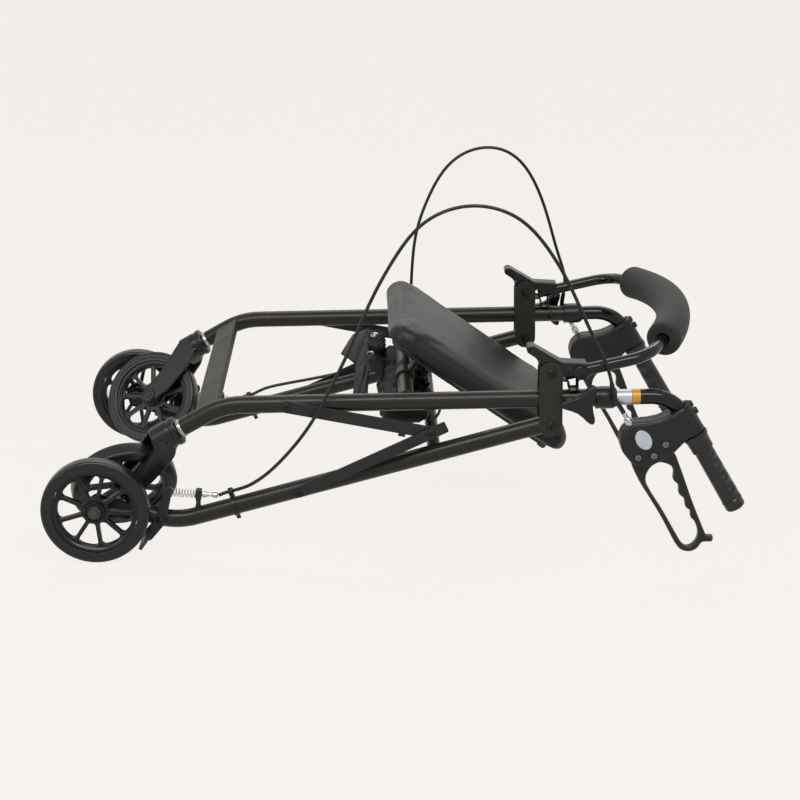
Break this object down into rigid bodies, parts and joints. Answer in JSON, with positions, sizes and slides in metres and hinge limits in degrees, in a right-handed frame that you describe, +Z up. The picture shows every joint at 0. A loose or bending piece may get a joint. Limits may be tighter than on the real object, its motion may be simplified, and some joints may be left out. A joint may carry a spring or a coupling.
{
  "type": "rollator",
  "caption": "Folding four-wheeled walking frame with padded seat, foam backrest bar, height-adjustable handles and cable brakes, folded and lying on its back.",
  "frame": {"origin": "midway along and across the folded walker, on the floor that its rear wheels and brake lever loops rest on", "axes": "+X from the wheels to the handles, +Y to the walker's right side, +Z up, which is the walker's front, as it lies on its back"},
  "size_m": [1.0041, 0.5716, 0.5152],
  "materials": {
    "frame_paint": "satin dark bronze-black paint",
    "plate_paint": "satin black-olive paint",
    "black_gloss": "gloss black paint",
    "black_plastic": "moulded satin black plastic",
    "rubber": "matte black rubber",
    "tyre": "black solid tyre",
    "vinyl": "black vinyl with fine grain",
    "foam": "closed-cell black foam",
    "fabric": "black woven nylon",
    "steel": "bright zinc-plated steel",
    "dark_steel": "blackened steel"
  },
  "bodies": {
    "front_frame": {"front_leg_left": "frame_paint", "front_leg_right": "frame_paint", "front_crossbar": "frame_paint", "seat_hinge_tube": "frame_paint", "side_plates_left": "plate_paint", "side_plates_right": "plate_paint", "height_collar_left": "black_plastic", "height_collar_right": "black_plastic", "caster_stud_left": "steel", "caster_stud_right": "steel", "storage_pouch": "fabric", "brake_cable_left": "black_plastic", "brake_cable_right": "black_plastic"},
    "rear_frame": {"rear_leg_left": "frame_paint", "rear_leg_right": "frame_paint", "rear_cross_tube": "frame_paint", "rear_cable_adjuster_left": "steel", "rear_cable_adjuster_right": "steel", "rear_axle_left": "dark_steel", "rear_axle_right": "dark_steel", "return_spring_left": "steel", "return_spring_right": "steel"},
    "seat": {"seat_pad": "vinyl", "seat_board": "black_plastic", "seat_strap_left": "plate_paint", "seat_strap_right": "plate_paint"},
    "backrest": {"backrest_bracket_left": "black_plastic", "backrest_bracket_right": "black_plastic"},
    "backrest_bar": {"backrest_bar": "black_gloss", "backrest_foam": "foam"},
    "front_link_left": {"front_link_left": "plate_paint"},
    "rear_link_left": {"rear_link_left": "plate_paint"},
    "front_link_right": {"front_link_right": "plate_paint"},
    "rear_link_right": {"rear_link_right": "plate_paint"},
    "lock_button_left": {"lock_button_left": "black_plastic"},
    "lock_button_right": {"lock_button_right": "black_plastic"},
    "handle_left": {"handle_tube_left": "black_gloss", "brake_housing_left": "black_plastic", "grip_left": "rubber", "lever_cable_adjuster_left": "steel"},
    "height_knob_left": {"height_knob_left": "black_plastic"},
    "brake_lever_left": {"brake_lever_left": "black_plastic"},
    "brake_arm_left": {"brake_arm_left": "plate_paint"},
    "handle_right": {"handle_tube_right": "black_gloss", "brake_housing_right": "black_plastic", "grip_right": "rubber", "lever_cable_adjuster_right": "steel"},
    "height_knob_right": {"height_knob_right": "black_plastic"},
    "brake_lever_right": {"brake_lever_right": "black_plastic"},
    "brake_arm_right": {"brake_arm_right": "plate_paint"},
    "caster_left": {"caster_fork_left": "black_plastic"},
    "caster_wheel_left": {"caster_rim_left": "black_plastic", "caster_tyre_left": "tyre"},
    "rear_wheel_left": {"rear_rim_left": "black_plastic", "rear_tyre_left": "tyre"},
    "caster_right": {"caster_fork_right": "black_plastic"},
    "caster_wheel_right": {"caster_rim_right": "black_plastic", "caster_tyre_right": "tyre"},
    "rear_wheel_right": {"rear_rim_right": "black_plastic", "rear_tyre_right": "tyre"}
  },
  "joints": [
    {"name": "fold", "type": "hinge", "parent": "front_frame", "child": "rear_frame", "pos_m": [0.21647, 0, 0.19489], "axis": [0, -1, 0], "range_deg": [0, 47.4]},
    {"name": "front_link_turn_left", "type": "hinge", "parent": "front_frame", "child": "front_link_left", "pos_m": [-0.15665, -0.225, 0.22133], "axis": [0, -1, 0], "range_deg": [-43.59, 0]},
    {"name": "rear_link_turn_left", "type": "hinge", "parent": "rear_frame", "child": "rear_link_left", "pos_m": [-0.14091, -0.225, 0.09308], "axis": [0, -1, 0], "range_deg": [0, 40.67]},
    {"name": "front_link_turn_right", "type": "hinge", "parent": "front_frame", "child": "front_link_right", "pos_m": [-0.15665, 0.225, 0.22133], "axis": [0, -1, 0], "range_deg": [-43.59, 0]},
    {"name": "rear_link_turn_right", "type": "hinge", "parent": "rear_frame", "child": "rear_link_right", "pos_m": [-0.14091, 0.225, 0.09308], "axis": [0, -1, 0], "range_deg": [0, 40.67]},
    {"name": "seat_tilt", "type": "hinge", "parent": "front_frame", "child": "seat", "pos_m": [0.01249, 0, 0.22576], "axis": [0, -1, 0], "range_deg": [-25.5, 45]},
    {"name": "backrest_turn", "type": "hinge", "parent": "front_frame", "child": "backrest", "pos_m": [0.21445, 0, 0.27226], "axis": [0, -1, 0], "range_deg": [0, 70]},
    {"name": "backrest_pull", "type": "slide", "parent": "backrest", "child": "backrest_bar", "axis": [0.9732, 0, 0.23], "range_m": [0, 0.06]},
    {"name": "lock_button_press_left", "type": "slide", "parent": "backrest", "child": "lock_button_left", "axis": [0, 1, 0], "range_m": [0, 0.0025], "stiffness_N_per_m": 500, "springref_m": -0.002},
    {"name": "lock_button_press_right", "type": "slide", "parent": "backrest", "child": "lock_button_right", "axis": [0, -1, 0], "range_m": [0, 0.0025], "stiffness_N_per_m": 500, "springref_m": -0.002},
    {"name": "handle_height_left", "type": "slide", "parent": "front_frame", "child": "handle_left", "axis": [0.9997, 0, 0.0262], "range_m": [-0.0254, 0.1016], "deforming": ["brake_cable_left"]},
    {"name": "height_knob_turn_left", "type": "hinge", "parent": "front_frame", "child": "height_knob_left", "pos_m": [0.25811, -0.225, 0.23219], "axis": [0, -1, 0], "continuous": true},
    {"name": "brake_lever_squeeze_left", "type": "hinge", "parent": "handle_left", "child": "brake_lever_left", "pos_m": [0.34237, -0.225, 0.14836], "axis": [0, -1, 0], "range_deg": [0, 12], "stiffness_Nm_per_rad": 6, "springref_deg": -25.78},
    {"name": "brake_arm_turn_left", "type": "hinge", "parent": "rear_frame", "child": "brake_arm_left", "pos_m": [-0.33727, -0.225, 0.04995], "axis": [0, 1, 0], "range_deg": [0, 4], "deforming": ["return_spring_left"]},
    {"name": "handle_height_right", "type": "slide", "parent": "front_frame", "child": "handle_right", "axis": [0.9997, 0, 0.0262], "range_m": [0, 0.127], "deforming": ["brake_cable_right"]},
    {"name": "height_knob_turn_right", "type": "hinge", "parent": "front_frame", "child": "height_knob_right", "pos_m": [0.25811, 0.225, 0.23219], "axis": [0, 1, 0], "continuous": true},
    {"name": "brake_lever_squeeze_right", "type": "hinge", "parent": "handle_right", "child": "brake_lever_right", "pos_m": [0.31698, 0.225, 0.14769], "axis": [0, -1, 0], "range_deg": [0, 12], "stiffness_Nm_per_rad": 6, "springref_deg": -25.78},
    {"name": "brake_arm_turn_right", "type": "hinge", "parent": "rear_frame", "child": "brake_arm_right", "pos_m": [-0.33727, 0.225, 0.04995], "axis": [0, 1, 0], "range_deg": [0, 4], "deforming": ["return_spring_right"]},
    {"name": "caster_swivel_left", "type": "hinge", "parent": "front_frame", "child": "caster_left", "pos_m": [-0.30381, -0.225, 0.18611], "axis": [0.866, 0, 0.5], "range_deg": [0, 100]},
    {"name": "caster_spin_left", "type": "hinge", "parent": "caster_left", "child": "caster_wheel_left", "pos_m": [-0.3932, -0.20049, 0.09093], "axis": [-0.2723, 0.8387, 0.4717], "continuous": true},
    {"name": "rear_wheel_spin_left", "type": "hinge", "parent": "rear_frame", "child": "rear_wheel_left", "pos_m": [-0.42618, -0.2695, 0.0765], "axis": [0, 1, 0], "continuous": true},
    {"name": "caster_swivel_right", "type": "hinge", "parent": "front_frame", "child": "caster_right", "pos_m": [-0.30381, 0.225, 0.18611], "axis": [-0.866, 0, -0.5], "range_deg": [0, 100]},
    {"name": "caster_spin_right", "type": "hinge", "parent": "caster_right", "child": "caster_wheel_right", "pos_m": [-0.39386, 0.19855, 0.09209], "axis": [0.2939, 0.809, -0.509], "continuous": true},
    {"name": "rear_wheel_spin_right", "type": "hinge", "parent": "rear_frame", "child": "rear_wheel_right", "pos_m": [-0.42618, 0.2695, 0.0765], "axis": [0, 1, 0], "continuous": true}
  ],
  "couplings": [
    {"joint": "front_link_turn_left", "follows": "fold", "ratio": -0.9133},
    {"joint": "rear_link_turn_left", "follows": "fold", "ratio": 0.8517},
    {"joint": "front_link_turn_right", "follows": "fold", "ratio": -0.9133},
    {"joint": "rear_link_turn_right", "follows": "fold", "ratio": 0.8517},
    {"joint": "brake_arm_turn_left", "follows": "brake_lever_squeeze_left", "ratio": 0.3333},
    {"joint": "brake_arm_turn_right", "follows": "brake_lever_squeeze_right", "ratio": 0.3333}
  ]
}
